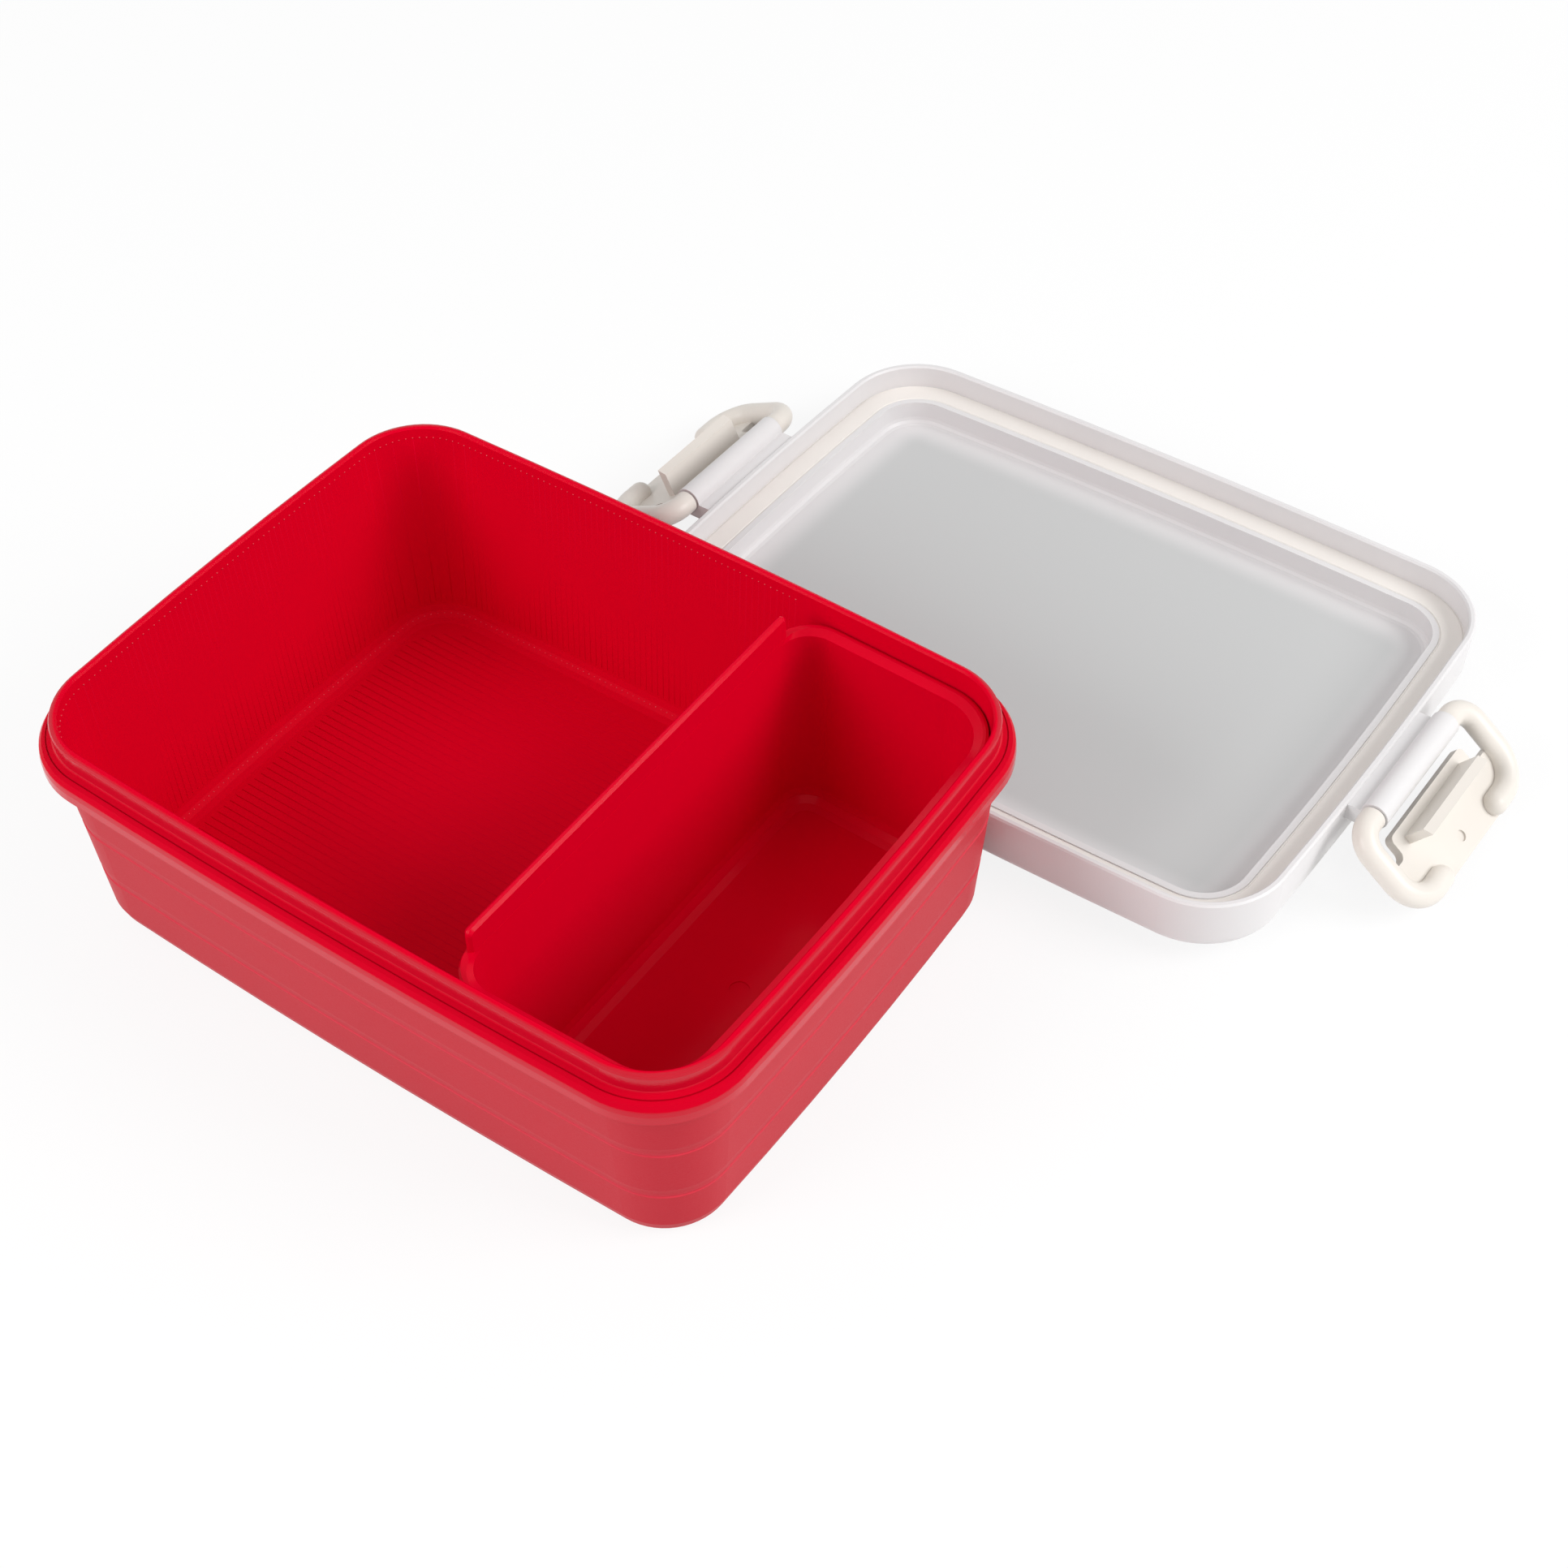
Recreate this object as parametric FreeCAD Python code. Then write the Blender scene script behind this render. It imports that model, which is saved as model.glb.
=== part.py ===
import FreeCAD, Part
import math
import os
from FreeCAD import Placement, Rotation, Vector

os.makedirs("parts", exist_ok=True)

# A two-clip lunch box, open: the box with its insert tray stands on the table,
# and the lid with its seal and clips lies upside down behind it.
# Millimetres, +Z up, origin at the middle of the box's underside.

# Collar of the box: the outline that every other outline is offset from
collar_length = 166.5
collar_width = 123.7
collar_corner = 17.4
end_bow = 1.5
side_bow = 1.55

# Box
box_height = 56.7
box_wall = 1.8
box_floor = 2.2
wall_draft = 3.2
bottom_round = 5.0
rim_round = 0.7
band_lines = (15.2, 30.2)
band_height = 2.8
band_depth = 0.25
lip_reach = 3.24
lip_bottom = 46.4
lip_top = 49.0
lip_wall = 1.5
lip_round = 0.4
ledge_height = 51.7
ledge_shoulder = 1.5
ledge_groove = 0.3
collar_fillet = 0.9
foot_groove_inset = 11.0
foot_groove_width = 3.0
foot_groove_depth = 0.5

# Insert tray
tray_wall = 1.5
tray_floor = 1.6
tray_drop = 4.7
tray_rim_clearance = 0.7
tray_wall_gap = 2.2
tray_rim_drop = 1.0
tray_rim_land = 1.2
tray_rim_depth = 3.4
tray_bottom_round = 5.0
tray_left = 26.5
tray_left_draft = 1.3
tray_left_corner = 9.0
divider_thickness = 2.0
divider_rise = 5.9
divider_length = 103.0
divider_corner = 1.6
divider_edge = 0.6
divider_step = 0.1
gate_radius = 2.2
gate_depth = 0.25

# Lid, drawn upside down: its outer face at zero height, its rim at the top
lid_height = 13.8
lid_reach = 2.25
lid_wall = 1.65
lid_panel = 1.9
lid_draft = 0.7
lid_edge_round = 2.0
channel_floor = 4.4
rib_height = 8.0
rib_outer = 5.2
rib_wall = 1.5
rib_foot = 1.6
barrel_radius = 3.2
barrel_length = 34.4
barrel_reach = 6.1
barrel_drop = 0.5
web_thickness = 4.2
web_drop = 0.5

# Seal ring in the lid's channel
seal_top = 7.9
seal_clearance = 0.1
seal_edge = 0.5

# Clips
rod_radius = 2.8
pin_radius = 1.8
pin_length = 5.0
pin_clearance = 0.05
pin_end_clearance = 0.5
arm_clearance = 0.35
arm_lead = 2.0
arm_bend = 5.2
arm_run = 7.3
arm_corner = 7.9
arm_tail = 3.4
plate_start = 6.2
plate_top = -0.8
plate_thickness = 2.2
plate_half_width = 17.0
plate_corner = 1.5
slot_end = 11.5
slot_radius = 1.6
hook_start = 8.5
hook_end = 10.5
hook_tip = 6.4
hook_bevel = 1.3
hook_half_length = 13.4
dimple_radius = 1.3
dimple_depth = 0.5
dimple_inset = 4.3
right_clip_angle = 38.0
left_clip_angle = 26.0

# How the lid lies: its far end is propped up by a clip
lid_centre_x = 51.6
lid_spacing = 0.3
lid_lift = 2.6
lid_turn = -1.01
lid_end_rise = 1.3
lid_side_dip = 0.8

# Heights and places that follow from the sizes above
tray_rim_height = box_height - tray_drop
divider_height = tray_rim_height + divider_rise
lid_centre_y = collar_width + lid_spacing

# Radii of the bowed sides, from half the side and its bow
half_length = collar_length / 2
half_width = collar_width / 2
side_radius = ((half_length - end_bow) ** 2 + side_bow ** 2) / (2 * side_bow)
end_radius = ((half_width - side_bow) ** 2 + end_bow ** 2) / (2 * end_bow)


def arc(centre, radius, start, stop, height):
    points = []
    for angle in (start, (start + stop) / 2, stop):
        x = centre[0] + radius * math.cos(angle)
        y = centre[1] + radius * math.sin(angle)
        points.append(Vector(x, y, height))
    return Part.Arc(*points).toShape()


def sides(offset):
    """Centres, radii and tangent angles of the bowed sides and the corner arc."""
    radius_side = side_radius + offset
    radius_end = end_radius + offset
    radius_corner = collar_corner + offset
    side_y = half_width - side_radius
    end_x = half_length - end_radius
    reach_side = radius_side - radius_corner
    reach_end = radius_end - radius_corner
    # The corner's centre lies on two circles, round the centres of both sides
    gap = math.hypot(end_x, side_y)
    along = (reach_side ** 2 - reach_end ** 2 + gap ** 2) / (2 * gap)
    across = math.sqrt(reach_side ** 2 - along ** 2)
    unit_x = end_x / gap
    unit_y = -side_y / gap
    corner_x = unit_x * along + unit_y * across
    corner_y = side_y + unit_y * along - unit_x * across
    if corner_x < 0 or corner_y < 0:
        corner_x = unit_x * along - unit_y * across
        corner_y = side_y + unit_y * along + unit_x * across
    angle_end = math.atan2(corner_y, corner_x - end_x)
    angle_side = math.atan2(corner_y - side_y, corner_x)
    return radius_side, radius_end, radius_corner, side_y, end_x, corner_x, corner_y, angle_end, angle_side


def outline(height, offset):
    """Closed outline of eight tangent arcs, offset from the collar."""
    r_side, r_end, r_corner, side_y, end_x, cx, cy, a_end, a_side = sides(offset)
    pi = math.pi
    edges = [
        arc((end_x, 0), r_end, -a_end, a_end, height),
        arc((cx, cy), r_corner, a_end, a_side, height),
        arc((0, side_y), r_side, a_side, pi - a_side, height),
        arc((-cx, cy), r_corner, pi - a_side, pi - a_end, height),
        arc((-end_x, 0), r_end, pi - a_end, pi + a_end, height),
        arc((-cx, -cy), r_corner, pi + a_end, pi + a_side, height),
        arc((0, -side_y), r_side, pi + a_side, 2 * pi - a_side, height),
        arc((cx, -cy), r_corner, 2 * pi - a_side, 2 * pi - a_end, height),
    ]
    return Part.Wire(edges)


def tray_outline(height, offset, left, left_corner):
    """Outline like the collar's on three sides, with a straight left side."""
    r_side, r_end, r_corner, side_y, end_x, cx, cy, a_end, a_side = sides(offset)
    pi = math.pi
    lx = left + left_corner
    ly = side_y + math.sqrt((r_side - left_corner) ** 2 - lx ** 2)
    a_left = math.atan2(ly - side_y, lx)
    edges = [
        arc((end_x, 0), r_end, -a_end, a_end, height),
        arc((cx, cy), r_corner, a_end, a_side, height),
        arc((0, side_y), r_side, a_side, a_left, height),
        arc((lx, ly), left_corner, a_left, pi, height),
        Part.LineSegment(Vector(left, ly, height), Vector(left, -ly, height)).toShape(),
        arc((lx, -ly), left_corner, pi, 2 * pi - a_left, height),
        arc((0, -side_y), r_side, 2 * pi - a_left, 2 * pi - a_side, height),
        arc((cx, -cy), r_corner, 2 * pi - a_side, 2 * pi - a_end, height),
    ]
    return Part.Wire(edges)


def loft(wires):
    return Part.makeLoft(wires, True, True)


def ring(low, high, offset, width):
    """Upright ring between two outlines, the inner one set in by a width."""
    outer = loft([outline(low, offset), outline(high, offset)])
    inside = loft([outline(low, offset - width), outline(high, offset - width)])
    return outer.cut(inside)


def wall_taper(height):
    """Offset of the box's outer wall from the collar at a height."""
    return -wall_draft * (1 - height / lip_bottom)


def quarter_steps(radius, steps=3):
    """Inset and rise of points on a quarter round, from the flat to the wall."""
    for step in range(steps + 1):
        angle = math.radians(90 * step / steps)
        yield radius * (1 - math.sin(angle)), radius * (1 - math.cos(angle))


def make_box():
    outer = []
    for inset, rise in quarter_steps(bottom_round):
        outer.append(outline(rise, wall_taper(rise) - inset))
    for line in band_lines:
        for rise, depth in ((0, 0), (band_depth, band_depth), (band_height, 0)):
            outer.append(outline(line + rise, wall_taper(line + rise) - depth))
    outer.append(outline(lip_bottom, 0))
    outer.append(outline(lip_top, 0))
    # Flange: a lip that turns down, a rounded shoulder, a grooved ledge and the collar
    profile = [
        (lip_bottom, lip_reach - lip_round),
        (lip_bottom + lip_round, lip_reach),
        (lip_top, lip_reach),
    ]
    for step in (1, 2, 3):
        angle = math.radians(30 * step)
        out = ledge_shoulder + (lip_reach - ledge_shoulder) * math.cos(angle)
        profile.append((lip_top + (ledge_height - lip_top) * math.sin(angle), out))
    profile += [
        (ledge_height + collar_fillet / 2, collar_fillet / 3),
        (ledge_height + collar_fillet, 0),
        (box_height - rim_round, 0),
        (box_height - rim_round / 4, -rim_round / 3),
        (box_height, -rim_round),
    ]
    flange = loft([outline(height, out) for height, out in profile])
    # Hollow under the lip, open downwards, where the clips take hold
    lip_inside = lip_reach - lip_wall
    hollow = loft([outline(lip_bottom - lip_wall, lip_inside), outline(lip_top - lip_round, lip_inside)])
    body = flange.cut(hollow).fuse(loft(outer))
    body = body.cut(ring(ledge_height - ledge_groove, ledge_height + ledge_groove, ledge_shoulder, ledge_groove))
    # Inside of the box
    inner = []
    inner_round = bottom_round - box_wall
    for inset, rise in quarter_steps(inner_round):
        inner.append(outline(box_floor + rise, wall_taper(box_floor + rise) - box_wall - inset))
    for height, out in ((box_height - rim_round / 2, 0), (box_height, rim_round / 2)):
        inner.append(outline(height, out - box_wall))
    inner.append(outline(box_height + box_wall, rim_round / 2 - box_wall))
    body = body.cut(loft(inner))
    # Foot groove in the underside
    foot = wall_taper(0) - foot_groove_inset
    return body.cut(ring(-foot_groove_depth, foot_groove_depth, foot, foot_groove_width))


def tray_section(height, gap, inside=0.0):
    """Outline of the tray, a gap inside the box's inner wall at that height."""
    offset = wall_taper(min(height, lip_bottom)) - box_wall - gap
    lean = tray_left_draft * (1 - height / tray_rim_height)
    return tray_outline(height, offset, tray_left + lean + inside, tray_left_corner - inside)


def make_tray():
    outer = []
    for inset, rise in quarter_steps(tray_bottom_round):
        outer.append(tray_section(box_floor + rise, tray_wall_gap + inset, inset))
    rim_start = tray_rim_height - tray_rim_depth + tray_rim_clearance
    outer += [
        tray_section(rim_start, tray_wall_gap),
        tray_section(tray_rim_height - tray_rim_land, tray_rim_clearance),
        tray_section(tray_rim_height - tray_rim_land / 4, tray_rim_clearance),
        tray_section(tray_rim_height, tray_rim_clearance + tray_rim_land / 2),
    ]
    inner = []
    floor = box_floor + tray_floor
    wall_gap = tray_wall_gap + tray_wall
    inner_round = tray_bottom_round - tray_wall
    for inset, rise in quarter_steps(inner_round):
        inner.append(tray_section(floor + rise, wall_gap + inset, divider_thickness + inset))
    inner += [
        tray_section(tray_rim_height - tray_rim_drop, wall_gap, divider_thickness),
        tray_section(tray_rim_height, tray_rim_clearance + tray_rim_land, divider_thickness),
        tray_section(tray_rim_height + tray_floor, tray_rim_clearance + tray_rim_land, divider_thickness),
    ]
    body = loft(outer).cut(loft(inner))
    # Divider: the left wall carried up between its two corners
    base = tray_rim_height - tray_rim_drop
    low = Vector(tray_left + divider_step, -divider_length / 2, base)
    thickness = divider_thickness - 2 * divider_step
    divider = Part.makeBox(thickness, divider_length, divider_height - base, low)
    uprights = [e for e in divider.Edges if e.BoundBox.ZMax > divider_height - 0.01 and e.BoundBox.XLength > 1]
    divider = divider.makeFillet(divider_corner, uprights)
    rounded = [e for e in divider.Edges if e.BoundBox.ZMin > divider_height - 0.01]
    divider = divider.makeChamfer(divider_edge, rounded)
    body = body.fuse(divider).removeSplitter()
    # Round mark of the moulding gate in the tray's floor
    inside_right = half_length + wall_taper(floor) - box_wall - wall_gap
    gate_x = (tray_left + divider_thickness + inside_right) / 2
    gate = Part.makeCylinder(gate_radius, gate_depth, Vector(gate_x, 0, floor - gate_depth))
    return body.cut(gate)


def lid_skirt(height):
    """Offset of the lid's outer skirt from the collar at a height."""
    return lid_reach - lid_draft * (1 - height / lid_height)


def barrel_axis():
    x = half_length + lid_reach + barrel_reach
    return x, lid_height - barrel_drop


def make_lid():
    outer = []
    for inset, rise in quarter_steps(lid_edge_round):
        outer.append(outline(rise, lid_skirt(rise) - inset))
    outer += [
        outline(lid_height - lid_wall / 4, lid_reach),
        outline(lid_height, lid_reach - lid_wall / 4),
    ]
    inside = lid_reach - lid_wall
    top = lid_height + 1
    mouth = loft([
        outline(rib_height, inside),
        outline(lid_height - lid_wall / 4, inside),
        outline(lid_height, inside + lid_wall / 4),
        outline(top, inside + lid_wall / 4),
    ])
    channel = loft([outline(channel_floor, inside), outline(rib_height, inside)])
    island = loft([outline(channel_floor, -rib_outer), outline(rib_height, -rib_outer)])
    rib_inside = rib_outer + rib_wall
    panel = []
    for inset, rise in quarter_steps(rib_foot):
        panel.append(outline(lid_panel + rise, -rib_inside - inset))
    panel.append(outline(rib_height, -rib_inside))
    body = loft(outer).cut(mouth)
    body = body.cut(channel.cut(island))
    body = body.cut(loft(panel))
    # Hinge barrels on both short ends, each on a web
    axis_x, axis_z = barrel_axis()
    half = barrel_length / 2
    bore = pin_radius + pin_clearance
    bore_depth = pin_length + pin_end_clearance
    web_x = half_length + lid_reach - lid_wall / 2
    web_low = lid_height - web_drop - web_thickness
    for way in (1, -1):
        barrel = Part.makeCylinder(barrel_radius, barrel_length, Vector(way * axis_x, -half, axis_z), Vector(0, 1, 0))
        low_x = min(way * web_x, way * axis_x)
        web = Part.makeBox(axis_x - web_x, barrel_length, web_thickness, Vector(low_x, -half, web_low))
        body = body.fuse(barrel.fuse(web))
        for end in (1, -1):
            mouth_point = Vector(way * axis_x, end * half, axis_z)
            hole = Part.makeCylinder(bore, bore_depth, mouth_point, Vector(0, -end, 0))
            body = body.cut(hole)
    return body.removeSplitter()


def make_seal():
    outside = lid_reach - lid_wall - seal_clearance
    inside = -rib_outer + seal_clearance
    outer = loft([
        outline(channel_floor, outside),
        outline(seal_top - seal_edge, outside),
        outline(seal_top, outside - seal_edge),
    ])
    inner = loft([
        outline(channel_floor - 1, inside),
        outline(seal_top - seal_edge, inside),
        outline(seal_top, inside + seal_edge),
        outline(seal_top + 1, inside + seal_edge),
    ])
    return outer.cut(inner)


def make_arm(way):
    """One round arm with its stub pin, on the +Y or -Y side of a clip."""
    start = barrel_length / 2 + arm_clearance
    bend_y = start + arm_lead
    run_y = bend_y + arm_bend
    corner_x = arm_bend + arm_run
    far_x = corner_x + arm_corner
    tail_y = run_y - arm_corner
    along_y = Vector(0, 1, 0)
    along_x = Vector(1, 0, 0)
    upright = Vector(0, 0, 1)

    def disc(x, y, normal):
        return Part.Face(Part.Wire(Part.Circle(Vector(x, way * y, 0), normal, rod_radius).toShape()))

    lead = disc(0, start, along_y).extrude(Vector(0, way * arm_lead, 0))
    bend = disc(0, bend_y, along_y).revolve(Vector(arm_bend, way * bend_y, 0), upright, -90 * way)
    run = disc(arm_bend, run_y, along_x).extrude(Vector(arm_run, 0, 0))
    turn = disc(corner_x, run_y, along_x).revolve(Vector(corner_x, way * tail_y, 0), upright, -90 * way)
    tail = disc(far_x, tail_y, along_y).extrude(Vector(0, -way * arm_tail, 0))
    cap = Part.makeSphere(rod_radius, Vector(far_x, way * (tail_y - arm_tail), 0))
    depth = arm_clearance + pin_length + arm_lead
    pin = Part.makeCylinder(pin_radius, depth, Vector(0, way * bend_y, 0), Vector(0, -way, 0))
    return lead.fuse([bend, run, turn, tail, cap, pin])


def make_clip():
    """A clip about its own axis: X away from the barrel, Z towards its inner side."""
    run_y = barrel_length / 2 + arm_clearance + arm_lead + arm_bend
    corner_x = arm_bend + arm_run
    far_x = corner_x + arm_corner
    tail_y = run_y - arm_corner
    plate_end = far_x + rod_radius
    quarter = math.sqrt(0.5)
    low = plate_top - plate_thickness

    def edge_line(a, b):
        return Part.LineSegment(a, b).toShape()

    def half_edges(way):
        p = [
            Vector(plate_start, way * (plate_half_width - plate_corner), low),
            Vector(plate_start + plate_corner * (1 - quarter), way * (plate_half_width - plate_corner * (1 - quarter)), low),
            Vector(plate_start + plate_corner, way * plate_half_width, low),
            Vector(slot_end - slot_radius, way * plate_half_width, low),
            Vector(slot_end, way * (plate_half_width + slot_radius), low),
            Vector(slot_end, way * run_y, low),
            Vector(corner_x, way * run_y, low),
            Vector(corner_x + arm_corner * quarter, way * (run_y - arm_corner * (1 - quarter)), low),
            Vector(far_x, way * tail_y, low),
            Vector(plate_end, way * (tail_y - rod_radius), low),
        ]
        bend = Vector(slot_end - slot_radius * (1 - quarter), way * (plate_half_width + slot_radius * (1 - quarter)), low)
        edges = [
            Part.Arc(p[0], p[1], p[2]).toShape(),
            edge_line(p[2], p[3]),
            Part.Arc(p[3], bend, p[4]).toShape(),
            edge_line(p[4], p[5]),
            edge_line(p[5], p[6]),
            Part.Arc(p[6], p[7], p[8]).toShape(),
            edge_line(p[8], p[9]),
        ]
        return edges, p[0], p[9]

    upper, start_up, end_up = half_edges(1)
    lower, start_low, end_low = half_edges(-1)
    edges = upper + lower + [edge_line(start_up, start_low), edge_line(end_up, end_low)]
    face = Part.Face(Part.Wire(Part.__sortEdges__(edges)))
    plate = face.extrude(Vector(0, 0, plate_thickness))
    # Hook rib with a bevelled top
    hook_points = [
        Vector(hook_start, -hook_half_length, low + plate_thickness / 2),
        Vector(hook_start, -hook_half_length, hook_tip - hook_bevel),
        Vector(hook_end, -hook_half_length, hook_tip),
        Vector(hook_end, -hook_half_length, low + plate_thickness / 2),
    ]
    hook_face = Part.Face(Part.makePolygon(hook_points + [hook_points[0]]))
    hook = hook_face.extrude(Vector(0, 2 * hook_half_length, 0))
    clip = plate.fuse([hook, make_arm(1), make_arm(-1)])
    dimple_at = Vector(plate_end - dimple_inset, 0, plate_top - dimple_depth)
    dimple = Part.makeCylinder(dimple_radius, dimple_depth + 1, dimple_at)
    return clip.cut(dimple).removeSplitter()


def place(shape, placement):
    moved = shape.copy()
    moved.Placement = placement.multiply(moved.Placement)
    return moved


box = make_box()
tray = make_tray()
lid = make_lid()
seal = make_seal()
clip = make_clip()

lid_place = Placement(
    Vector(lid_centre_x, lid_centre_y, lid_lift),
    Rotation(lid_turn, -lid_end_rise, -lid_side_dip),
)
axis_x, axis_z = barrel_axis()
axis_at = Vector(axis_x, 0, axis_z)
right_place = Placement(axis_at, Rotation(Vector(0, 1, 0), right_clip_angle))
left_place = Placement(axis_at, Rotation(Vector(0, 1, 0), left_clip_angle))
half_turn = Placement(Vector(0, 0, 0), Rotation(Vector(0, 0, 1), 180))

parts = {
    "box": box,
    "insert_tray": tray,
    "lid": place(lid, lid_place),
    "seal_ring": place(seal, lid_place),
    "clip_right": place(clip, lid_place.multiply(right_place)),
    "clip_left": place(clip, lid_place.multiply(half_turn).multiply(left_place)),
}

for name, shape in parts.items():
    shape.exportStep("parts/" + name + ".step")
    bounds = shape.BoundBox
    print(name, shape.isValid(), len(shape.Solids), round(shape.Volume), round(bounds.ZMin, 2), round(bounds.ZMax, 2))
axis_point = lid_place.multVec(Vector(axis_x, 0, axis_z))
axis_left = lid_place.multVec(Vector(-axis_x, 0, axis_z))
axis_line = lid_place.Rotation.multVec(Vector(0, 1, 0))
print("right clip axis", axis_point, "left clip axis", axis_left, "along", axis_line)
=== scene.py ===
import math

import bpy
from mathutils import Euler, Matrix, Vector


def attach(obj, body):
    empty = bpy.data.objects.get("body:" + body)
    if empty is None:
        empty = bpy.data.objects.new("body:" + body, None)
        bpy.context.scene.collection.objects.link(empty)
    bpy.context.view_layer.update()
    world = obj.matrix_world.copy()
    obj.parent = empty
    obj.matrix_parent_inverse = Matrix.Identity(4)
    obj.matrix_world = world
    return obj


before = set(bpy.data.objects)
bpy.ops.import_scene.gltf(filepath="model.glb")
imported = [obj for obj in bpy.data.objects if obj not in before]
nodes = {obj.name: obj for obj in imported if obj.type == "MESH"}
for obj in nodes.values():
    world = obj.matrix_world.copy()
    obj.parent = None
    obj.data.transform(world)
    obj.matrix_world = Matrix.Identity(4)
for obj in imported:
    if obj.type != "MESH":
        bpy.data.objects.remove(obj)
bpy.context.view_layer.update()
print("stage: frame loaded")

# The outline that box, lid and seal share, in metres: bowed sides joined by round corners
shell = {
    "halfLength": 0.08325, "halfWidth": 0.06185, "corner": 0.0174,
    "endBow": 0.0015, "sideBow": 0.00155,
    "low": 0.0054, "lowInset": 0.00463,  # inner wall just over the floor
    "high": 0.05635, "highInset": 0.0018,  # inner wall at the rim
    "floor": 0.0022,
}


# Five of the outline's eight arcs, each a centre, a radius and two angles
def outlineArcs(shift):
    a = shell["halfLength"]
    b = shell["halfWidth"]
    sideRadius = ((a - shell["endBow"]) ** 2 + shell["sideBow"] ** 2) / (2 * shell["sideBow"])
    endRadius = ((b - shell["sideBow"]) ** 2 + shell["endBow"] ** 2) / (2 * shell["endBow"])
    sideY = b - sideRadius
    endX = a - endRadius
    sideRadius += shift
    endRadius += shift
    corner = shell["corner"] + shift
    toSide = sideRadius - corner
    toEnd = endRadius - corner
    gap = math.hypot(endX, sideY)
    along = (toSide ** 2 - toEnd ** 2 + gap ** 2) / (2 * gap)
    across = math.sqrt(toSide ** 2 - along ** 2)
    ux, uy = endX / gap, -sideY / gap
    cx, cy = ux * along - uy * across, sideY + uy * along + ux * across
    if cx < 0 or cy < 0:
        cx, cy = ux * along + uy * across, sideY + uy * along - ux * across
    low = math.atan2(cy, cx - endX)
    high = math.atan2(cy - sideY, cx)
    pi = math.pi
    return [
        ((0, sideY), sideRadius, high, pi - high),
        ((-cx, cy), corner, pi - high, pi - low),
        ((-endX, 0), endRadius, pi - low, pi + low),
        ((-cx, -cy), corner, pi + low, pi + high),
        ((0, -sideY), sideRadius, pi + high, 2 * pi - high),
    ]


def wallArcs(height, inset):
    share = (height - shell["low"]) / (shell["high"] - shell["low"])
    wall = shell["lowInset"] + (shell["highInset"] - shell["lowInset"]) * share
    return outlineArcs(-wall - inset)


def arcPoint(arc, part, height):
    centre, radius, start, stop = arc
    angle = start + (stop - start) * part
    return Vector((centre[0] + radius * math.cos(angle), centre[1] + radius * math.sin(angle), height))


# Shares of an arc's length, a pitch apart
def evenParts(arc, pitch):
    count = max(2, round(abs(arc[3] - arc[2]) * arc[1] / pitch))
    return [(step + 0.5) / count for step in range(count)]


def addObject(name, data):
    made = bpy.data.objects.new(name, data)
    bpy.context.collection.objects.link(made)
    return made


# A round rod on each point, as long as the point's rise and along it
def ribTree():
    tree = bpy.data.node_groups.new("roundRibs", "GeometryNodeTree")
    tree.is_modifier = True
    tree.interface.new_socket("Geometry", in_out="INPUT", socket_type="NodeSocketGeometry")
    tree.interface.new_socket("Rib Radius", in_out="INPUT", socket_type="NodeSocketFloat")
    tree.interface.new_socket("Rib Sides", in_out="INPUT", socket_type="NodeSocketInt")
    tree.interface.new_socket("Rib Material", in_out="INPUT", socket_type="NodeSocketMaterial")
    tree.interface.new_socket("Geometry", in_out="OUTPUT", socket_type="NodeSocketGeometry")
    made = tree.nodes
    link = tree.links.new
    enter = made.new("NodeGroupInput")
    leave = made.new("NodeGroupOutput")
    rod = made.new("GeometryNodeMeshCylinder")
    rod.inputs["Depth"].default_value = 1.0
    lift = made.new("GeometryNodeTransform")
    lift.inputs["Translation"].default_value = (0, 0, 0.5)  # the rod stands on its point
    rise = made.new("GeometryNodeInputNamedAttribute")
    rise.data_type = "FLOAT_VECTOR"
    rise.inputs["Name"].default_value = "rise"
    turn = made.new("FunctionNodeAlignRotationToVector")
    turn.axis = "Z"
    size = made.new("ShaderNodeVectorMath")
    size.operation = "LENGTH"
    scale = made.new("ShaderNodeCombineXYZ")
    scale.inputs["X"].default_value = 1.0
    scale.inputs["Y"].default_value = 1.0
    spread = made.new("GeometryNodeInstanceOnPoints")
    real = made.new("GeometryNodeRealizeInstances")
    smooth = made.new("GeometryNodeSetShadeSmooth")
    coat = made.new("GeometryNodeSetMaterial")
    link(enter.outputs["Rib Radius"], rod.inputs["Radius"])
    link(enter.outputs["Rib Sides"], rod.inputs["Vertices"])
    link(rod.outputs["Mesh"], lift.inputs["Geometry"])
    link(rise.outputs["Attribute"], turn.inputs["Vector"])
    link(rise.outputs["Attribute"], size.inputs[0])
    link(size.outputs["Value"], scale.inputs["Z"])
    link(enter.outputs["Geometry"], spread.inputs["Points"])
    link(lift.outputs["Geometry"], spread.inputs["Instance"])
    link(turn.outputs["Rotation"], spread.inputs["Rotation"])
    link(scale.outputs["Vector"], spread.inputs["Scale"])
    link(spread.outputs["Instances"], real.inputs["Geometry"])
    link(real.outputs["Geometry"], smooth.inputs["Geometry"])
    link(smooth.outputs["Geometry"], coat.inputs["Geometry"])
    link(enter.outputs["Rib Material"], coat.inputs["Material"])
    link(coat.outputs["Geometry"], leave.inputs["Geometry"])
    return tree


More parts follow.
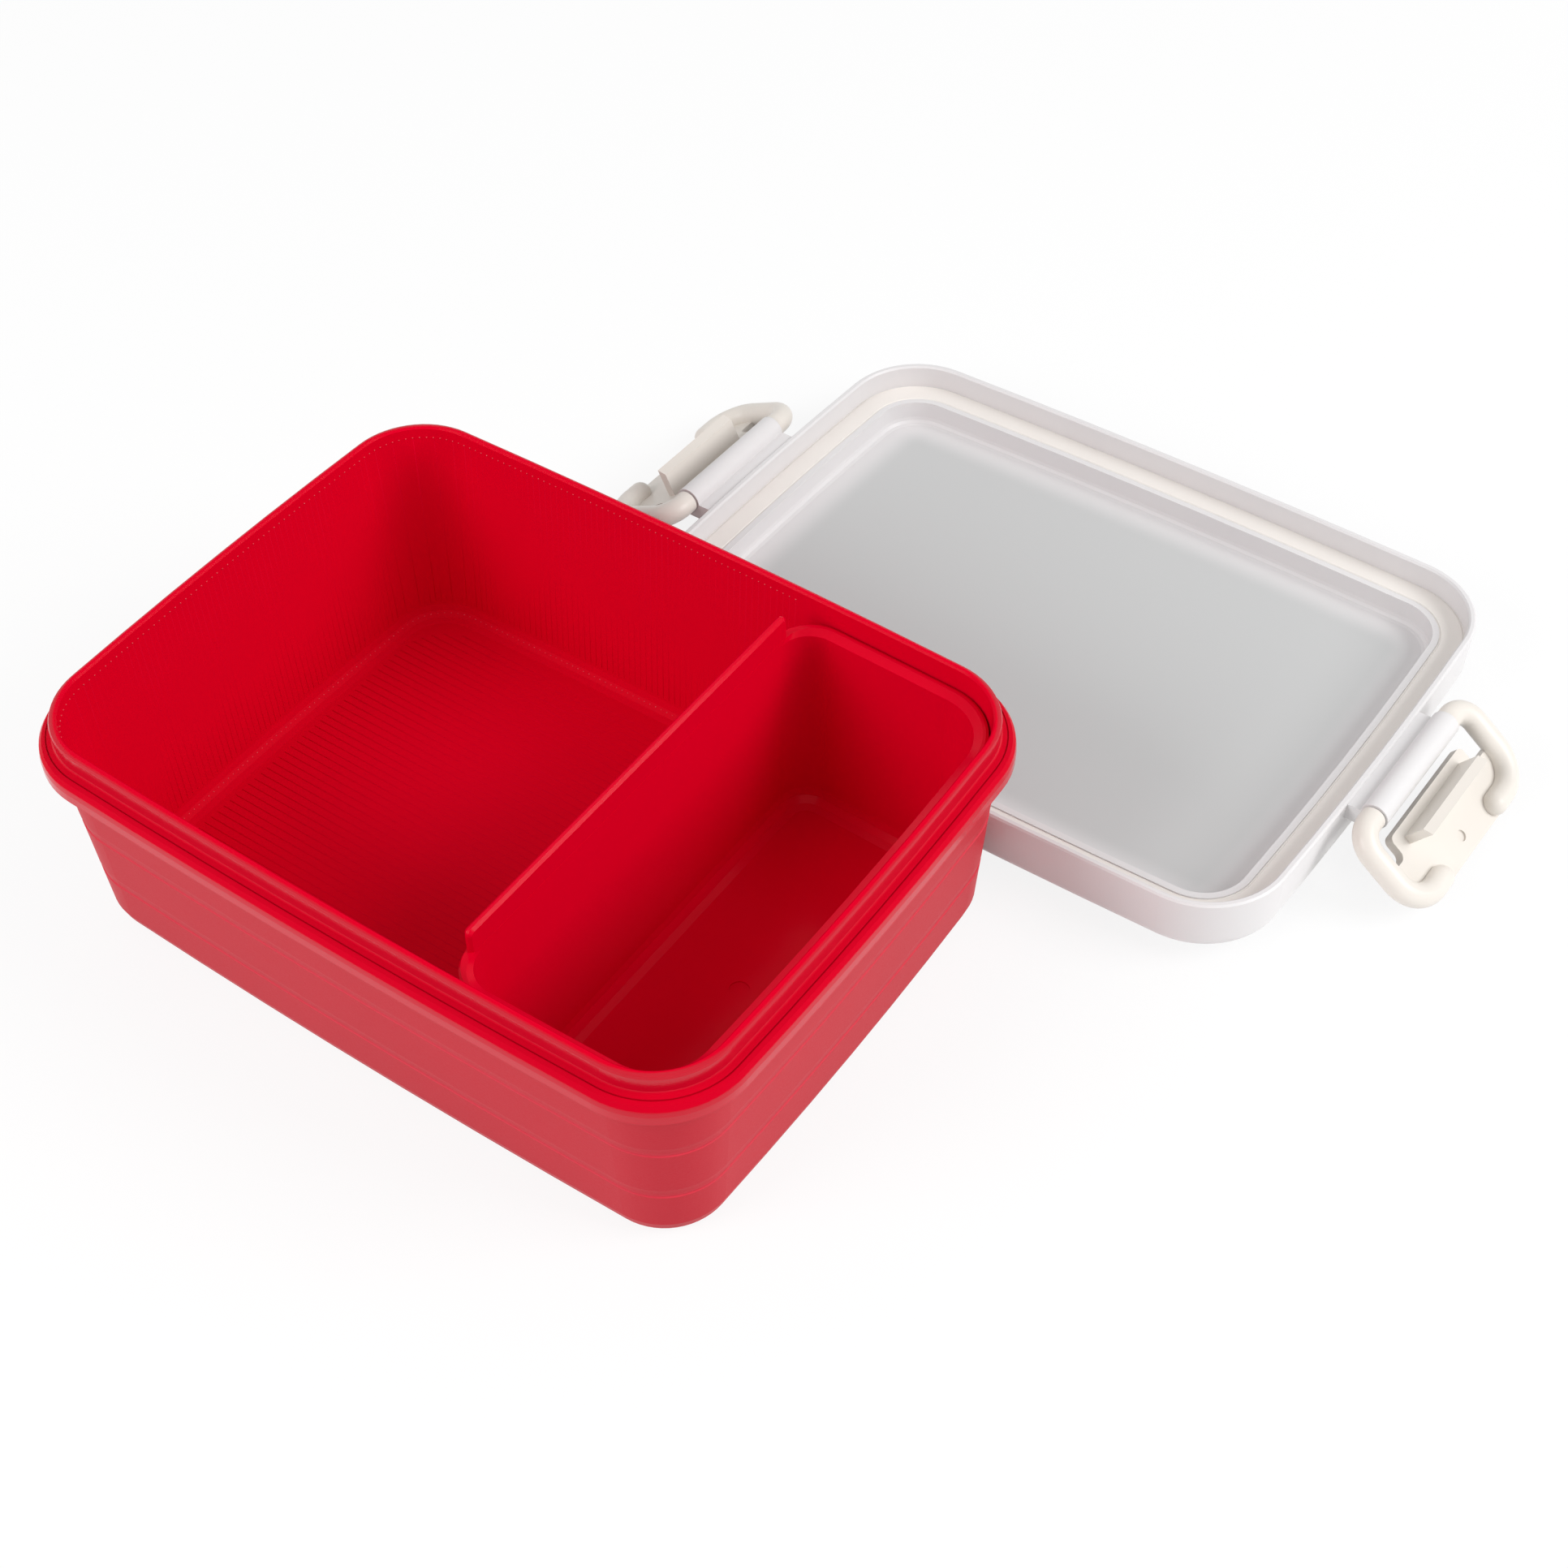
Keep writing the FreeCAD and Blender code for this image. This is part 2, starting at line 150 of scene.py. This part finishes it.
def makeRibs(name, starts, rises, look, material):
    seed = bpy.data.meshes.new(name + "Seed")
    seed.from_pydata(starts, [], [])
    values = seed.attributes.new("rise", "FLOAT_VECTOR", "POINT")
    for at, rise in enumerate(rises):
        values.data[at].vector = rise
    holder = addObject(name + "Seed", seed)
    modifier = holder.modifiers.new("ribs", "NODES")
    modifier.node_group = ribs
    given = {"Rib Radius": look["radius"], "Rib Sides": look["sides"], "Rib Material": material}
    for socket in ribs.interface.items_tree:
        if socket.in_out == "INPUT" and socket.name in given:
            modifier[socket.identifier] = given[socket.name]
    holder.update_tag()
    graph = bpy.context.evaluated_depsgraph_get()
    mesh = bpy.data.meshes.new_from_object(holder.evaluated_get(graph))
    mesh.name = name
    bpy.data.objects.remove(holder)
    return addObject(name, mesh)


# A socket takes a link from another socket, or a plain value
def feed(tree, slot, value):
    if isinstance(value, bpy.types.NodeSocket):
        tree.links.new(value, slot)
    else:
        slot.default_value = value


def worked(tree, operation, a, b=None):
    node = tree.nodes.new("ShaderNodeMath")
    node.operation = operation
    feed(tree, node.inputs[0], a)
    if b is not None:
        feed(tree, node.inputs[1], b)
    return node.outputs["Value"]


def ranged(tree, value, fromMin=0.0, fromMax=1.0, toMin=0.0, toMax=1.0, shape="LINEAR"):
    node = tree.nodes.new("ShaderNodeMapRange")
    node.interpolation_type = shape
    given = {"Value": value, "From Min": fromMin, "From Max": fromMax, "To Min": toMin, "To Max": toMax}
    for label, entry in given.items():
        feed(tree, node.inputs[label], entry)
    return node.outputs["Result"]


def mixed(tree, factor, a, b):
    node = tree.nodes.new("ShaderNodeMix")
    node.data_type = "RGBA"
    for label, entry in (("Factor", factor), ("A", a), ("B", b)):
        feed(tree, node.inputs[label], entry)
    return node.outputs["Result"]


# Moulded plastic: a clouded tint, a fine grain in the gloss and the surface
def grainGroup():
    group = bpy.data.node_groups.new("mouldGrain", "ShaderNodeTree")
    for label in ("Tint", "Shade"):
        group.interface.new_socket(label, in_out="INPUT", socket_type="NodeSocketColor")
    for label in ("Cloud Scale", "Grain Scale", "Grain Depth", "Rough Low", "Rough High"):
        group.interface.new_socket(label, in_out="INPUT", socket_type="NodeSocketFloat")
    group.interface.new_socket("Color", in_out="OUTPUT", socket_type="NodeSocketColor")
    group.interface.new_socket("Roughness", in_out="OUTPUT", socket_type="NodeSocketFloat")
    group.interface.new_socket("Normal", in_out="OUTPUT", socket_type="NodeSocketVector")
    made = group.nodes
    link = group.links.new
    enter = made.new("NodeGroupInput")
    leave = made.new("NodeGroupOutput")
    where = made.new("ShaderNodeTexCoord")
    cloud = made.new("ShaderNodeTexNoise")
    speck = made.new("ShaderNodeTexNoise")
    bump = made.new("ShaderNodeBump")
    bump.inputs["Distance"].default_value = 0.0002  # metres at full depth
    link(where.outputs["Object"], cloud.inputs["Vector"])
    link(where.outputs["Object"], speck.inputs["Vector"])
    link(enter.outputs["Cloud Scale"], cloud.inputs["Scale"])
    link(enter.outputs["Grain Scale"], speck.inputs["Scale"])
    link(speck.outputs["Fac"], bump.inputs["Height"])
    link(enter.outputs["Grain Depth"], bump.inputs["Strength"])
    tint = mixed(group, cloud.outputs["Fac"], enter.outputs["Tint"], enter.outputs["Shade"])
    rough = ranged(group, speck.outputs["Fac"], toMin=enter.outputs["Rough Low"], toMax=enter.outputs["Rough High"])
    link(tint, leave.inputs["Color"])
    link(rough, leave.inputs["Roughness"])
    link(bump.outputs["Normal"], leave.inputs["Normal"])
    return group


# How deep a point lies inside the bowed outline, as a soft mask
def insetGroup():
    group = bpy.data.node_groups.new("insetMask", "ShaderNodeTree")
    for label in ("Half Length", "Half Width", "Corner", "Inset", "Softness"):
        group.interface.new_socket(label, in_out="INPUT", socket_type="NodeSocketFloat")
    group.interface.new_socket("Vector", in_out="INPUT", socket_type="NodeSocketVector")
    group.interface.new_socket("Mask", in_out="OUTPUT", socket_type="NodeSocketFloat")
    given = group.nodes.new("NodeGroupInput").outputs
    leave = group.nodes.new("NodeGroupOutput")
    split = group.nodes.new("ShaderNodeSeparateXYZ")
    group.links.new(given["Vector"], split.inputs["Vector"])
    px = worked(group, "ABSOLUTE", split.outputs["X"])
    py = worked(group, "ABSOLUTE", split.outputs["Y"])
    shareX = worked(group, "POWER", worked(group, "DIVIDE", px, given["Half Length"]), 2.0)
    shareY = worked(group, "POWER", worked(group, "DIVIDE", py, given["Half Width"]), 2.0)
    bowX = worked(group, "MULTIPLY", shareY, shell["endBow"])
    bowY = worked(group, "MULTIPLY", shareX, shell["sideBow"])
    coreX = worked(group, "SUBTRACT", given["Half Length"], given["Corner"])
    coreY = worked(group, "SUBTRACT", given["Half Width"], given["Corner"])
    qx = worked(group, "SUBTRACT", worked(group, "ADD", px, bowX), coreX)
    qy = worked(group, "SUBTRACT", worked(group, "ADD", py, bowY), coreY)
    outX = worked(group, "POWER", worked(group, "MAXIMUM", qx, 0.0), 2.0)
    outY = worked(group, "POWER", worked(group, "MAXIMUM", qy, 0.0), 2.0)
    away = worked(group, "SQRT", worked(group, "ADD", outX, outY))
    within = worked(group, "MINIMUM", worked(group, "MAXIMUM", qx, qy), 0.0)
    depth = worked(group, "SUBTRACT", given["Corner"], worked(group, "ADD", away, within))
    start = worked(group, "SUBTRACT", given["Inset"], given["Softness"])
    stop = worked(group, "ADD", given["Inset"], given["Softness"])
    group.links.new(ranged(group, depth, start, stop, shape="SMOOTHSTEP"), leave.inputs["Mask"])
    return group


grain = grainGroup()
insetMask = insetGroup()
ribs = ribTree()
print("stage: shared groups made")


def insetIn(tree, where, inset, softness):
    node = tree.nodes.new("ShaderNodeGroup")
    node.node_tree = insetMask
    given = {
        "Half Length": shell["halfLength"], "Half Width": shell["halfWidth"], "Corner": shell["corner"],
        "Inset": inset, "Softness": softness, "Vector": where,
    }
    for label, entry in given.items():
        feed(tree, node.inputs[label], entry)
    return node.outputs["Mask"]


# Colours are written as on a screen, 0 to 255
def linear(red, green, blue):
    def part(value):
        value = value / 255
        return value / 12.92 if value <= 0.04045 else ((value + 0.055) / 1.055) ** 2.4
    return (part(red), part(green), part(blue), 1.0)


def plastic(name, look):
    made = bpy.data.materials.new(name)
    made.use_nodes = True
    tree = made.node_tree
    shader = tree.nodes["Principled BSDF"]
    mould = tree.nodes.new("ShaderNodeGroup")
    mould.node_tree = grain
    for label in ("Tint", "Shade", "Cloud Scale", "Grain Scale", "Grain Depth", "Rough Low", "Rough High"):
        mould.inputs[label].default_value = look[label]
    tree.links.new(mould.outputs["Color"], shader.inputs["Base Color"])
    tree.links.new(mould.outputs["Roughness"], shader.inputs["Roughness"])
    tree.links.new(mould.outputs["Normal"], shader.inputs["Normal"])
    for label, value in look["shader"].items():
        shader.inputs[label].default_value = value
    return made, tree, shader, mould


def paint(node, material):
    mesh = nodes[node].data
    mesh.materials.clear()
    mesh.materials.append(material)


# Box: matte and paler outside, polished on the flange; the inside is painted a deeper red, a painted stand-in for
# light bounced between its red walls; heights in metres
boxLook = {
    "Tint": linear(188, 14, 38), "Shade": linear(182, 11, 35), "Cloud Scale": 40.0, "Grain Scale": 2500.0,
    "Grain Depth": 0.1, "Rough Low": 0.42, "Rough High": 0.56,
    "shader": {"IOR": 1.5, "Sheen Roughness": 0.5},
    "outerGloss": 0.2, "outerSheen": 0.01,
    # inner: painted deeper red for the inside, standing in for light bounced between the red walls
    "inner": linear(216, 0, 36), "innerGloss": 0.02, "innerSheen": 0.0,
    "midLow": 0.00406, "midHigh": 0.00058, "midSoftness": 0.0003,  # mid wall, at the table and at the rim
    "soleLow": 0.0019, "soleHigh": 0.0021,
    # flange and ledge: deeper and brighter reds painted on the rim and its upward ledge, as painted reflection of
    # these polished faces
    "flange": linear(192, 0, 33), "flangeLow": 0.0466, "flangeHigh": 0.0472,
    "flangePolish": 0.32, "flangeGloss": 0.3,
    "ledge": linear(203, 0, 33), "ledgeFrom": 0.0499, "ledgeFull": 0.0504, "ledgeLast": 0.0523, "ledgeTo": 0.0527,
    # band: a paler pink painted as sheen on the wall's grooves, repeating every band step up the wall
    "bandSheen": linear(199, 46, 63), "bandFirst": 0.0152, "bandStep": 0.015, "bandLow": 0.0002, "bandHigh": 0.0014,
}
boxPlastic, boxTree, boxShader, boxMould = plastic("redBox", boxLook)
boxWhere = boxTree.nodes.new("ShaderNodeTexCoord").outputs["Object"]
boxSplit = boxTree.nodes.new("ShaderNodeSeparateXYZ")
boxTree.links.new(boxWhere, boxSplit.inputs["Vector"])
boxHeight = boxSplit.outputs["Z"]

# Zones: flange, ledge, bands, inside; each tints the one red plastic as painted light
# Painted reflection: the rim painted a deeper red, its upward ledge a brighter red
onFlange = ranged(boxTree, boxHeight, boxLook["flangeLow"], boxLook["flangeHigh"])
ledgeStart = ranged(boxTree, boxHeight, boxLook["ledgeFrom"], boxLook["ledgeFull"])
ledgeStop = ranged(boxTree, boxHeight, boxLook["ledgeTo"], boxLook["ledgeLast"])
onLedge = worked(boxTree, "MULTIPLY", ledgeStart, ledgeStop)
# Painted sheen: lighter stripes at each groove height, repeating every band step
bandHeight = worked(boxTree, "SUBTRACT", boxHeight, boxLook["bandFirst"])
overBand = worked(boxTree, "FLOORED_MODULO", bandHeight, boxLook["bandStep"])
onBandSheen = ranged(boxTree, overBand, boxLook["bandLow"], boxLook["bandHigh"], 1.0, 0.0)
midWall = ranged(boxTree, boxHeight, 0.0, shell["high"], boxLook["midLow"], boxLook["midHigh"])
pastWall = insetIn(boxTree, boxWhere, midWall, boxLook["midSoftness"])
overSole = ranged(boxTree, boxHeight, boxLook["soleLow"], boxLook["soleHigh"])
# Mask of the inside, where the painted deeper red goes; it also sets the inside's gloss and sheen
onInside = worked(boxTree, "MULTIPLY", pastWall, overSole)

boxColor = boxMould.outputs["Color"]
for zone, tint in ((onBandSheen, "bandSheen"), (onFlange, "flange"), (onLedge, "ledge"), (onInside, "inner")):
    boxColor = mixed(boxTree, zone, boxColor, boxLook[tint])
outsideGloss = ranged(boxTree, onFlange, toMin=boxLook["outerGloss"], toMax=boxLook["flangeGloss"])
onDull = worked(boxTree, "MAXIMUM", onLedge, onInside)
boxGloss = ranged(boxTree, onDull, toMin=outsideGloss, toMax=boxLook["innerGloss"])
boxSheen = ranged(boxTree, onInside, toMin=boxLook["outerSheen"], toMax=boxLook["innerSheen"])
boxPolish = ranged(boxTree, onFlange, toMin=1.0, toMax=boxLook["flangePolish"])
boxRough = worked(boxTree, "MULTIPLY", boxPolish, boxMould.outputs["Roughness"])
boxTree.links.new(boxColor, boxShader.inputs["Base Color"])
boxTree.links.new(boxGloss, boxShader.inputs["Specular IOR Level"])
boxTree.links.new(boxSheen, boxShader.inputs["Sheen Weight"])
boxTree.links.new(boxRough, boxShader.inputs["Roughness"])
paint("box", boxPlastic)

# Fine upright ribs on the compartment's walls and long ribs on its floor
ribLook = {
    # The ribs' tint is the same painted deeper inside red
    "Tint": linear(216, 0, 40), "Shade": linear(212, 0, 38), "Cloud Scale": 40.0, "Grain Scale": 2500.0,
    "Grain Depth": 0.03, "Rough Low": 0.45, "Rough High": 0.55,
    "shader": {"IOR": 1.46, "Specular IOR Level": 0.015},
    "pitch": 0.0016, "radius": 0.0005, "sides": 8, "sunk": 0.000466,
    "low": 0.0062, "high": 0.0541, "edge": 0.0262,  # edge is where the tray begins
    "floorPitch": 0.002, "floorSunk": 0.00045, "floorFrom": -0.0735, "floorTo": 0.0272, "floorHalf": 0.0515,
    "floorStraight": 0.038, "floorCorner": 0.0125,
}
ribPlastic = plastic("redRib", ribLook)[0]
ribStarts = []
ribRises = []
levels = (ribLook["low"], ribLook["high"])
for arcs in zip(*(wallArcs(level, -ribLook["sunk"]) for level in levels)):
    for part in evenParts(arcs[1], ribLook["pitch"]):
        ends = [arcPoint(arc, part, level) for arc, level in zip(arcs, levels)]
        if ends[1].x > ribLook["edge"]:
            continue
        ribStarts.append(ends[0])
        ribRises.append(ends[1] - ends[0])
floorRows = int(ribLook["floorHalf"] / ribLook["floorPitch"])
floorCorner = ribLook["floorCorner"]
for row in range(-floorRows, floorRows + 1):
    y = row * ribLook["floorPitch"]
    over = min(max(0.0, abs(y) - ribLook["floorStraight"]), floorCorner)
    short = floorCorner - math.sqrt(floorCorner ** 2 - over ** 2)
    foot = Vector((ribLook["floorFrom"] + short, y, shell["floor"] - ribLook["floorSunk"]))
    ribStarts.append(foot)
    ribRises.append(Vector((ribLook["floorTo"] - foot.x, 0, 0)))
innerRibs = makeRibs("innerRibs", ribStarts, ribRises, ribLook, ribPlastic)
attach(innerRibs, "box_body")

# Tips where the ribs end, under the rim and along the floor's edge, tinted lighter as a painted highlight on the
# rib ends
tipHighlightLook = {
    "Tint": linear(232, 70, 88), "Shade": linear(222, 24, 48), "Cloud Scale": 900.0, "Grain Scale": 2500.0,
    "Grain Depth": 0.02, "Rough Low": 0.2, "Rough High": 0.3, "shader": {"IOR": 1.46},
    "radius": 0.0002, "sides": 6, "length": 0.00022,
    "rimHeight": 0.054, "floorInset": 0.00555, "floorHeight": 0.0032,
}
tipHighlightPlastic = plastic("redTipHighlight", tipHighlightLook)[0]
tipStarts = []
for rimArc, floorArc in zip(wallArcs(tipHighlightLook["rimHeight"], 0), outlineArcs(-tipHighlightLook["floorInset"])):
    for arc, height in ((rimArc, tipHighlightLook["rimHeight"]), (floorArc, tipHighlightLook["floorHeight"])):
        spots = [arcPoint(arc, part, height) for part in evenParts(arc, ribLook["pitch"])]
        tipStarts += [spot for spot in spots if spot.x < ribLook["edge"]]
tipRises = [Vector((0, 0, tipHighlightLook["length"]))] * len(tipStarts)
ribTipHighlights = makeRibs("ribTipHighlights", tipStarts, tipRises, tipHighlightLook, tipHighlightPlastic)
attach(ribTipHighlights, "box_body")
print("stage: box and ribs made")

# Insert tray: smooth, with little grain
trayLook = {
    "Tint": linear(216, 0, 38), "Shade": linear(211, 0, 35), "Cloud Scale": 45.0, "Grain Scale": 900.0,
    "Grain Depth": 0.02, "Rough Low": 0.12, "Rough High": 0.2,
    "shader": {"IOR": 1.46, "Specular IOR Level": 0.06},
}
paint("insert_tray", plastic("redTray", trayLook)[0])

# Lid: pale plastic, a greyer field in the middle of its panel
lidLook = {
    "Tint": linear(223, 221, 221), "Shade": linear(218, 216, 217), "Cloud Scale": 30.0, "Grain Scale": 1500.0,
    "Grain Depth": 0.03, "Rough Low": 0.28, "Rough High": 0.4,
    "shader": {"IOR": 1.47, "Specular IOR Level": 0.3},
    "field": linear(195, 196, 196), "inset": 0.0126, "softness": 0.004,
    "place": (0.0516, 0.124, 0.0026), "turn": [math.radians(angle) for angle in (-0.8, -1.3, -1.01)],
}
lidPlastic, lidTree, lidShader, lidMould = plastic("paleLid", lidLook)
lidWhere = lidTree.nodes.new("ShaderNodeTexCoord")
lidLocal = lidTree.nodes.new("ShaderNodeMapping")  # from the part's frame into the lid's
lidLocal.vector_type = "TEXTURE"
lidLocal.inputs["Location"].default_value = lidLook["place"]
lidLocal.inputs["Rotation"].default_value = lidLook["turn"]
lidTree.links.new(lidWhere.outputs["Object"], lidLocal.inputs["Vector"])
onField = insetIn(lidTree, lidLocal.outputs["Vector"], lidLook["inset"], lidLook["softness"])
lidColor = mixed(lidTree, onField, lidMould.outputs["Color"], lidLook["field"])
lidTree.links.new(lidColor, lidShader.inputs["Base Color"])
paint("lid", lidPlastic)

# Seal ring: soft and matte
sealLook = {
    "Tint": linear(236, 231, 226), "Shade": linear(231, 226, 221), "Cloud Scale": 60.0, "Grain Scale": 1800.0,
    "Grain Depth": 0.05, "Rough Low": 0.5, "Rough High": 0.65,
    "shader": {"IOR": 1.41, "Specular IOR Level": 0.3},
}
sealPlastic = plastic("paleSeal", sealLook)[0]
paint("seal_ring", sealPlastic)

# The seal's thin edge, out to both walls of its channel
flareLook = {"outer": 0.00058, "inner": -0.00518, "low": 0.0074, "high": 0.00765, "steps": 20}
flareTurn = Euler(lidLook["turn"], "XYZ").to_matrix()
flareRings = (("outer", "low"), ("outer", "high"), ("inner", "high"), ("inner", "low"))
flareParts = [step / flareLook["steps"] for step in range(flareLook["steps"])]
flarePoints = []
for side, level in flareRings:
    halfArcs = outlineArcs(flareLook[side])[:4]
    around = [arcPoint(arc, part, flareLook[level]) for arc in halfArcs for part in flareParts]
    around += [Vector((-point.x, -point.y, point.z)) for point in around]
    flarePoints += [flareTurn @ point + Vector(lidLook["place"]) for point in around]
flareCount = len(flarePoints) // len(flareRings)
flareFaces = []
for ring in range(len(flareRings)):
    near = ring * flareCount
    far = (ring + 1) % len(flareRings) * flareCount
    for at in range(flareCount):
        after = (at + 1) % flareCount
        flareFaces.append((near + at, near + after, far + after, far + at))
flareMesh = bpy.data.meshes.new("sealFlare")
flareMesh.from_pydata(flarePoints, [], flareFaces)
flareMesh.materials.append(sealPlastic)
sealFlare = addObject("sealFlare", flareMesh)
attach(sealFlare, "lid_body")

# Clips: warm pale plastic
clipLook = {
    "Tint": linear(226, 220, 213), "Shade": linear(221, 215, 207), "Cloud Scale": 80.0, "Grain Scale": 1500.0,
    "Grain Depth": 0.03, "Rough Low": 0.25, "Rough High": 0.36,
    "shader": {"IOR": 1.49, "Specular IOR Level": 0.3},
}
clipPlastic = plastic("paleClip", clipLook)[0]
paint("clip_right", clipPlastic)
paint("clip_left", clipPlastic)
print("stage: materials set")


# One for rays that show the background: straight, mirrored or through
def seenRay(tree):
    ray = tree.nodes.new("ShaderNodeLightPath").outputs
    mirrored = worked(tree, "MAXIMUM", ray["Is Camera Ray"], ray["Is Glossy Ray"])
    return worked(tree, "MAXIMUM", mirrored, ray["Is Transmission Ray"])


# White table, nearly plain white where it is seen, with a faint shadow
floorLook = {"tint": (0.9, 0.9, 0.9, 1), "rough": 0.8, "white": 0.86, "half": 3.0, "drop": 0.0002}
half = floorLook["half"]
floorMesh = bpy.data.meshes.new("tableTop")
floorMesh.from_pydata([(-half, -half, 0), (half, -half, 0), (half, half, 0), (-half, half, 0)], [], [(0, 1, 2, 3)])
floorTop = addObject("tableTop", floorMesh)
floorTop.location.z = -floorLook["drop"]
floorPaint = bpy.data.materials.new("tableWhite")
floorPaint.use_nodes = True
floorTree = floorPaint.node_tree
floorShader = floorTree.nodes["Principled BSDF"]
floorShader.inputs["Base Color"].default_value = floorLook["tint"]
floorShader.inputs["Roughness"].default_value = floorLook["rough"]
floorGlow = floorTree.nodes.new("ShaderNodeEmission")
floorGlow.inputs["Color"].default_value = (1, 1, 1, 1)
floorMix = floorTree.nodes.new("ShaderNodeMixShader")
floorTree.links.new(ranged(floorTree, seenRay(floorTree), toMax=floorLook["white"]), floorMix.inputs["Fac"])
floorTree.links.new(floorShader.outputs["BSDF"], floorMix.inputs[1])
floorTree.links.new(floorGlow.outputs["Emission"], floorMix.inputs[2])
floorTree.links.new(floorMix.outputs["Shader"], floorTree.nodes["Material Output"].inputs["Surface"])
floorMesh.materials.append(floorPaint)

# Soft studio light: a pale sky, one lamp on the right and one in front
studio = {
    "sky": 0.55, "aim": (0.03, 0.05, 0.02),
    "lamps": {
        "right": {"at": (0.87, 0.36, 0.66), "size": 0.6, "power": 8.0},
        "front": {"at": (-0.38, -0.88, 0.66), "size": 0.6, "power": 7.0},
    },
}
world = bpy.data.worlds.new("studio")
bpy.context.scene.world = world
world.use_nodes = True
worldTree = world.node_tree
sky = worldTree.nodes["Background"]
sky.inputs["Color"].default_value = (1, 1, 1, 1)
worldTree.links.new(ranged(worldTree, seenRay(worldTree), toMin=studio["sky"]), sky.inputs["Strength"])
for name, lamp in studio["lamps"].items():
    light = bpy.data.lights.new(name, "AREA")
    light.energy = lamp["power"]
    light.size = lamp["size"]
    holder = addObject(name, light)
    holder.location = lamp["at"]
    aim = Vector(studio["aim"]) - holder.location
    holder.rotation_euler = aim.to_track_quat("-Z", "Y").to_euler()

# Camera worked out from the photo
cameraFit = {
    "azimuth": 35.027, "elevation": 47.498, "roll": -0.376, "distance": 0.550735,
    "target": (0.031856, 0.044892, 0.014396), "lens": 58.165, "sensor": 36.0, "clipStart": 0.01,
}
turnAngle = math.radians(cameraFit["azimuth"])
tiltAngle = math.radians(cameraFit["elevation"])
rollAngle = math.radians(cameraFit["roll"])
level = math.cos(tiltAngle)
back = Vector((math.sin(turnAngle) * level, -math.cos(turnAngle) * level, math.sin(tiltAngle)))
right = Vector((math.cos(turnAngle), math.sin(turnAngle), 0))
up = back.cross(right)
sideways = math.cos(rollAngle) * right + math.sin(rollAngle) * up
upward = -math.sin(rollAngle) * right + math.cos(rollAngle) * up
spot = Vector(cameraFit["target"]) + back * cameraFit["distance"]
lens = bpy.data.cameras.new("photoCamera")
lens.lens = cameraFit["lens"]
lens.sensor_width = cameraFit["sensor"]
lens.clip_start = cameraFit["clipStart"]
camera = addObject("photoCamera", lens)
camera.matrix_world = Matrix((
    (sideways.x, upward.x, back.x, spot.x),
    (sideways.y, upward.y, back.y, spot.y),
    (sideways.z, upward.z, back.z, spot.z),
    (0, 0, 0, 1),
))
bpy.context.scene.camera = camera
bpy.context.scene.view_settings.view_transform = "Standard"
print("stage: light and camera set")
